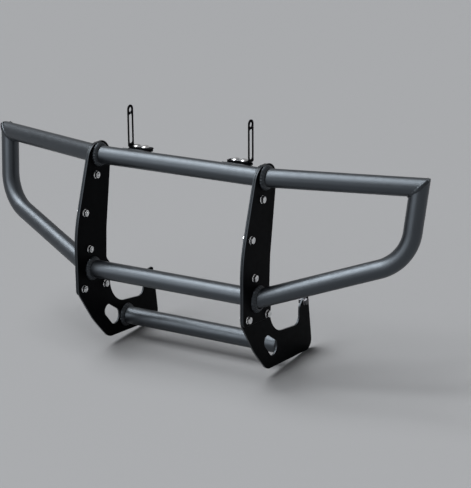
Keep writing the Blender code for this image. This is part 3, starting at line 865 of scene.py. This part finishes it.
def thicken_inwards(strap, sign):
    face_outwards(strap)
    inside = Vector((sign * STRAP_END, STRAP_Y, STRAP_TOP))
    upright = max(strap.data.polygons, key=lambda p: p.area)
    towards = upright.normal.dot(inside - upright.center) > 0
    offset = 1.0 if towards else -1.0
    apply_modifier(strap, "SOLIDIFY", thickness=STRAP_T, offset=offset, use_even_offset=True)


# %% Openings of a strap bracket
SLOT_DROP, SLOT_LENGTH, SLOT_WIDTH, SLOT_CORNER = 0.0193, 0.062, 0.013, 0.004
EYE_DROP, EYE_RADIUS = 0.0103, 0.0055
STRAP_CUTTER = 0.02


def slot_cutter(sign):
    """A block as long and wide as the slot, with its four corners rounded."""
    leave_edit_mode()
    middle = (sign * STRAP_OUTER, STRAP_Y, STRAP_TOP - SLOT_DROP - SLOT_LENGTH / 2)
    bpy.ops.mesh.primitive_cube_add(size=1, location=middle, scale=(STRAP_CUTTER, SLOT_WIDTH, SLOT_LENGTH))
    cutter = bpy.context.object
    place_in_mesh(cutter)
    edit(cutter, "EDGE")
    pick(cutter, "edges", lambda e: abs(e.verts[0].co.x - e.verts[1].co.x) > STRAP_CUTTER / 2)
    bpy.ops.mesh.bevel(offset=SLOT_CORNER, segments=8, affect="EDGES")
    leave_edit_mode()
    return cutter


def eye_cutter(sign):
    return rod(EYE_RADIUS, (sign * STRAP_OUTER, STRAP_Y, STRAP_TOP - EYE_DROP), (1, 0, 0), STRAP_CUTTER)


for side, sign in SIDES.items():
    strap = strap_sheet(sign)
    thicken_inwards(strap, sign)
    cut_with(strap, [slot_cutter(sign), eye_cutter(sign), upright_cutter(sign, FOOT_Z, STRAP_CUTTER)])
    soften_edges(strap, BRACKET_EDGE)
    smooth_skin(strap)
    hand_over(strap, f"strap_bracket_skin_{side}", [f"strap_bracket_{side}"], PLATE_COAT)
    box = [tuple(round(c, 4) for c in strap.bound_box[k]) for k in (0, 6)]
    print("strap", side, "from", box[0], "to", box[1])

# %% [markdown]
# The tab's own weld is a straight bead along the tube, above and below the plate: a rod
# whose sections are fattened in turn.

# %% Beads along the tabs
TAB_BEAD_RADIUS, TAB_BEAD_SIDES, TAB_BEAD_RIPPLES, TAB_BEAD_RIPPLE = 0.0042, 12, 8, 0.0005
TAB_BEAD_LIFTS = {"upper": 0.0125, "lower": 0.0065}
TAB_BEAD_INSET = 0.001


def straight_bead(start, end):
    line = end - start
    bead = rod(TAB_BEAD_RADIUS, start + line / 2, line, line.length, TAB_BEAD_SIDES)
    stations = STATIONS * TAB_BEAD_RIPPLES

    def lies_along(edge):
        return abs((edge.verts[0].co - edge.verts[1].co).normalized().dot(line.normalized())) > 0.9

    def station(vert):
        return round((vert.co - start).dot(line) / line.length_squared * stations)

    edit(bead, "EDGE")
    pick(bead, "edges", lies_along)
    bpy.ops.mesh.subdivide(number_cuts=stations - 1)
    for share, swell in ((0, 1.0), (1, 0.7), (3, -0.3)):
        pick(bead, "verts", lambda v: station(v) % STATIONS == share)
        bpy.ops.transform.shrink_fatten(value=TAB_BEAD_RIPPLE * swell)
    leave_edit_mode()
    return bead


for side, sign in SIDES.items():
    for name, lift in TAB_BEAD_LIFTS.items():
        y = TOP_RAIL[0] + math.sqrt(TUBE_RADIUS ** 2 - lift ** 2)
        z = TOP_RAIL[1] + lift
        start = Vector((sign * (TAB_INNER + TAB_BEAD_INSET), y, z))
        bead = straight_bead(start, Vector((sign * (TAB_OUTER - TAB_BEAD_INSET), y, z)))
        dress_bead(bead, f"weld_tab_{name}_{side}")
print("faces on the last bead at a tab:", len(bead.data.polygons))

# %% [markdown]
# ## Bolts and nuts
#
# The fasteners are M8 flange bolts and flange nuts. A flange is a short cylinder whose top
# face is extruded and drawn in to a cone. The hexagon is a six-sided cylinder, and its turned
# chamfer is what a wide cone leaves of it, a Boolean intersection. Threads show only where
# a bolt comes through its nut, so a small triangle is wound there with a Screw modifier.
# Each kind is modelled once at the origin and copied to its seats, each copy with its own
# mesh.

# %% Flanged hexagon
SHANK_RADIUS, FLANGE_RADIUS, FLANGE_RIM, FLANGE_CONE = 0.004, 0.0081, 0.0012, 0.0014
HEX_FLATS, HEAD_HEIGHT, NUT_HEIGHT = 0.013, 0.0070, 0.0068
CONE_TOP, CHAMFER_TOP = HEX_FLATS * 0.48, HEX_FLATS * 0.49
CHAMFER_SLOPE = math.radians(30)
HEAD_EDGE, NUT_EDGE, EDGE_ANGLE = 0.00018, 0.00022, 20


def flanged_hexagon(height):
    flange = rod(FLANGE_RADIUS, (0, 0, FLANGE_RIM / 2), (0, 0, 1), FLANGE_RIM, 48)
    edit(flange, "FACE")
    pick(flange, "faces", lambda f: f.normal.z > 0.9)
    run_on((0, 0, FLANGE_CONE))
    draw_in = CONE_TOP / FLANGE_RADIUS
    bpy.ops.transform.resize(value=(draw_in, draw_in, 1), center_override=(0, 0, FLANGE_RIM + FLANGE_CONE))
    hexagon = rod(HEX_FLATS / math.sqrt(3), (0, 0, height / 2), (0, 0, 1), height, 6)
    leave_edit_mode()
    bpy.ops.mesh.primitive_cone_add(
        vertices=48, radius1=CHAMFER_TOP + height / math.tan(CHAMFER_SLOPE), radius2=CHAMFER_TOP,
        depth=height, location=(0, 0, height / 2),
    )
    chamfer = bpy.context.object
    place_in_mesh(chamfer)
    cut_with(hexagon, [chamfer], "INTERSECT")
    cut_with(flange, [hexagon], "UNION")
    return flange


def nut():
    piece = flanged_hexagon(NUT_HEIGHT)
    cut_with(piece, [rod(SHANK_RADIUS + GAP, (0, 0, NUT_HEIGHT / 2), (0, 0, 1), NUT_HEIGHT * 2, 36)])
    soften_edges(piece, NUT_EDGE, EDGE_ANGLE)
    smooth_skin(piece, 35)
    return piece


NUT = nut()
print("nut:", len(NUT.data.polygons), "faces")

# %% Threaded end and bolt
PITCH, THREAD_TURNS = 0.00125, 4
THREAD_DEPTH, THREAD_RISE = 0.16, 0.42
CORE_RADIUS, CREST_RADIUS = SHANK_RADIUS * 0.86, SHANK_RADIUS * 0.985
BOLT_TIP, TIP_CHAMFER, THREAD_START = 0.0015, 0.0006, 0.0005
SHANK_IN_HEAD = 0.001


def thread(bottom):
    """A ridge of triangular section wound upwards round Z from a height."""
    ridge = first_vertex((CREST_RADIUS * (1 - THREAD_DEPTH), 0, bottom))
    run_on((CREST_RADIUS * THREAD_DEPTH, 0, PITCH * THREAD_RISE))
    run_on((-CREST_RADIUS * THREAD_DEPTH, 0, PITCH * THREAD_RISE))
    bpy.ops.mesh.select_all(action="SELECT")
    bpy.ops.mesh.edge_face_add()
    leave_edit_mode()
    apply_modifier(
        ridge, "SCREW", axis="Z", angle=2 * math.pi, screw_offset=PITCH, iterations=THREAD_TURNS,
        steps=28, render_steps=28,
    )
    face_outwards(ridge)
    return ridge


def bolt(grip, head):
    """A bolt whose head sits on the origin, long enough to pass the grip and a nut."""
    tip = -(grip + NUT_HEIGHT + BOLT_TIP)
    shank = rod(CORE_RADIUS, (0, 0, (tip + SHANK_IN_HEAD) / 2), (0, 0, 1), -tip + SHANK_IN_HEAD, 28)
    edit(shank, "EDGE")
    pick(shank, "edges", lambda e: max(v.co.z for v in e.verts) < tip + 0.0001)
    bpy.ops.mesh.bevel(offset=TIP_CHAMFER, segments=1, affect="EDGES")
    leave_edit_mode()
    cut_with(head, [shank], "UNION")
    soften_edges(head, HEAD_EDGE, EDGE_ANGLE)
    whole = join([head, thread(tip + THREAD_START)])
    smooth_skin(whole, 35)
    return whole


# %% Domed head
DOME_RADIUS, DOME_HEIGHT, DOME_RIM = 0.0092, 0.0041, 0.0008


def domed_head():
    leave_edit_mode()
    bpy.ops.mesh.primitive_uv_sphere_add(segments=40, ring_count=20, radius=DOME_RADIUS)
    dome = bpy.context.object
    edit_all(dome, "FACE")
    bpy.ops.mesh.bisect(plane_co=(0, 0, 0), plane_no=(0, 0, 1), clear_inner=True, use_fill=True)
    bpy.ops.mesh.select_all(action="SELECT")
    bpy.ops.transform.resize(value=(1, 1, DOME_HEIGHT / DOME_RADIUS), center_override=(0, 0, 0))
    bpy.ops.transform.translate(value=(0, 0, DOME_RIM))
    pick(dome, "faces", lambda f: f.normal.z < -0.9)
    run_on((0, 0, -DOME_RIM))
    leave_edit_mode()
    face_outwards(dome)
    return dome


print("domed head:", 1000 * (DOME_HEIGHT + DOME_RIM), "mm high")


# %% Copies at their seats
def set_down(pattern, name, seat, axis, node, metal):
    """A copy of a fastener, its head or seat at a place, facing along axis."""
    make_active(pattern)
    bpy.ops.object.duplicate(linked=False)
    copy = bpy.context.object
    copy.data.transform(Matrix.Translation(seat) @ axis.to_track_quat("Z", "Y").to_matrix().to_4x4())
    hand_over(copy, name, [node], metal)


def clamp(pattern, seats, grip, axis, bolt_name, nut_name, metal=ZINC):
    """A bolt at each seat, and its nut on the far side of what it grips."""
    for index, seat in enumerate(seats):
        ending = f"_{index + 1}" if len(seats) > 1 else ""
        set_down(pattern, f"{bolt_name}_plated{ending}", seat, axis, bolt_name + ending, metal)
        set_down(NUT, f"{nut_name}_plated{ending}", seat - axis * grip, -axis, nut_name + ending, metal)


WING_GRIP = WING_OUTER - SIDE_INNER + 2 * GAP
PRONG_GRIP = PLATE_T + 2 * GAP
BRACKET_GRIP = TAB_T + STRAP_T + 3 * GAP
WING_BOLT = bolt(WING_GRIP, flanged_hexagon(HEAD_HEIGHT))
PRONG_BOLT = bolt(PRONG_GRIP, flanged_hexagon(HEAD_HEIGHT))
BRACKET_BOLT = bolt(BRACKET_GRIP, domed_head())
for side, sign in SIDES.items():
    axis = Vector((sign, 0, 0))
    seats = [Vector((sign * (WING_OUTER + GAP), y, z)) for y, z in WING_BOLTS]
    clamp(WING_BOLT, seats, WING_GRIP, axis, f"wing_bolt_{side}", f"wing_nut_{side}")
    seats = [Vector((sign * (SIDE_OUTER + GAP), *FRAME_BOLT))]
    # The prong fasteners take the plating whose dark colour is painted shade.
    clamp(PRONG_BOLT, seats, PRONG_GRIP, axis, f"frame_bolt_{side}", f"frame_nut_{side}", ZINC_WITH_PAINTED_SHADE)
    seats = [Vector((sign * x, STRAP_Y, FOOT_Z + STRAP_T + GAP)) for x in FOOT_BOLTS_X]
    clamp(BRACKET_BOLT, seats, BRACKET_GRIP, Vector((0, 0, 1)), f"bracket_bolt_{side}", f"bracket_nut_{side}")
for pattern in (NUT, WING_BOLT, PRONG_BOLT, BRACKET_BOLT):
    bpy.data.objects.remove(pattern)

# %% [markdown]
# ## Floor, light and camera
#
# The bumper stands on a pale floor. Two wide soft lights overhead, a little to the left,
# draw one broad highlight along the upper side of every tube, and a third, high in front,
# carries it forwards. A soft box in front on the left lights the cut edges of the plates,
# and a wide low one further ahead lights the upright tubes.

# %% Floor
FLOOR_COLOUR = (0.30, 0.30, 0.303, 1)
FLOOR_Z = cad_box[0].z - 0.0005
leave_edit_mode()
bpy.ops.mesh.primitive_circle_add(vertices=96, radius=30, fill_type="NGON", location=(0, 0, FLOOR_Z))
floor = bpy.context.object
floor.name = "floor"
paper = bpy.data.materials.new("pale_paper")
paper.use_nodes = True
tree = paper.node_tree
tree.nodes.remove(tree.nodes["Principled BSDF"])
shade = node_at(tree, "ShaderNodeBsdfDiffuse", 0, 0, Color=FLOOR_COLOUR)
tree.links.new(shade.outputs[0], tree.nodes["Material Output"].inputs["Surface"])
floor.data.materials.append(paper)
print("floor at", round(FLOOR_Z, 4))

# %% World
AMBIENT = (0.10, 0.102, 0.106, 1)
PALE = (0.32, 0.32, 0.323, 1)


def either(tree, column, first, second):
    """One where either of two rays' marks is one."""
    larger = node_at(tree, "ShaderNodeMath", column, 0)
    larger.operation = "MAXIMUM"
    tree.links.new(first, larger.inputs[0])
    tree.links.new(second, larger.inputs[1])
    return larger.outputs["Value"]


def lit_for_view(tree, pale, light):
    """Pale for camera, glossy and transmission rays, and the light's colour for the rest."""
    rays = node_at(tree, "ShaderNodeLightPath", -4, 0)
    seen = either(tree, -3, rays.outputs["Is Camera Ray"], rays.outputs["Is Glossy Ray"])
    seen = either(tree, -2, seen, rays.outputs["Is Transmission Ray"])
    blend = node_at(tree, "ShaderNodeMixShader", 1, 0)
    tree.links.new(seen, blend.inputs["Fac"])
    tree.links.new(light.outputs[0], blend.inputs[1])
    tree.links.new(pale.outputs[0], blend.inputs[2])
    return blend


world = bpy.data.worlds.new("studio")
bpy.context.scene.world = world
world.use_nodes = True
tree = world.node_tree
ambient = tree.nodes["Background"]
ambient.inputs["Color"].default_value = AMBIENT
ambient.inputs["Strength"].default_value = 1.0
pale = node_at(tree, "ShaderNodeBackground", -1, 2, Color=PALE, Strength=1.0)
blend = lit_for_view(tree, pale, ambient)
tree.links.new(blend.outputs[0], tree.nodes["World Output"].inputs["Surface"])
print("world:", world.name)

# %% Lights
SKY_TINT = (0.96, 0.98, 1.0)
BOX_TINT = (0.93, 0.96, 1.0)
BOX_TARGET = (0, -0.2, 0.1)


def add_light(name, kind, place, target, power, tint):
    leave_edit_mode()
    turn = (Vector(target) - Vector(place)).to_track_quat("-Z", "Y").to_euler()
    bpy.ops.object.light_add(type=kind, location=place, rotation=turn)
    lamp = bpy.context.object
    lamp.name = name
    lamp.data.energy = power
    lamp.data.color = tint
    return lamp


def soft_box(name, place, size, power):
    lamp = add_light(name, "AREA", place, BOX_TARGET, power, BOX_TINT)
    lamp.data.shape = "RECTANGLE"
    lamp.data.size, lamp.data.size_y = size
    lamp.visible_camera = False


def soft_sky_light(name, towards, angle, strength):
    """A sun lamp so wide that it works as a big round cloth, far overhead."""
    lamp = add_light(name, "SUN", towards, (0, 0, 0), strength, SKY_TINT)
    lamp.data.angle = math.radians(angle)


soft_sky_light("overhead_light_front", (-0.28, -0.42, 0.86), angle=38, strength=2.0)
soft_sky_light("overhead_light_middle", (-0.38, -0.02, 0.925), angle=38, strength=1.8)
soft_sky_light("high_front_light", (-0.24, -0.76, 0.60), angle=36, strength=0.9)
soft_box("front_left_light", (-1.9, -3.3, 1.1), size=(1.2, 1.2), power=9)
soft_box("front_light", (-0.7, -4.2, 0.45), size=(3.0, 1.0), power=16)

# %% [markdown]
# The camera repeats the photograph's viewpoint, which was worked out from the straight
# tubes and their known directions: 30 degrees round to the right and looking down by 17.5.

# %% Camera
CAMERA_PLACE = (1.65987, -2.83766, 1.13245)
YAW, PITCH, ROLL = math.radians(29.874), math.radians(17.492), math.radians(-0.341)
LENS = 122.30
forward = Vector((-math.sin(YAW) * math.cos(PITCH), math.cos(YAW) * math.cos(PITCH), -math.sin(PITCH)))
level = Vector((math.cos(YAW), math.sin(YAW), 0))
upright = level.cross(forward)
right = level * math.cos(ROLL) + upright * math.sin(ROLL)
above = upright * math.cos(ROLL) - level * math.sin(ROLL)
leave_edit_mode()
bpy.ops.object.camera_add(location=CAMERA_PLACE)
camera = bpy.context.object
camera.rotation_euler = Matrix((right, above, -forward)).transposed().to_euler()
camera.data.sensor_fit = "HORIZONTAL"
camera.data.sensor_width = 36
camera.data.lens = LENS
camera.data.clip_end = 100
bpy.context.scene.camera = camera
bpy.context.scene.view_settings.view_transform = "Standard"
print("camera at", [round(c, 3) for c in camera.location])

# %% Update the scene
bpy.context.view_layer.update()
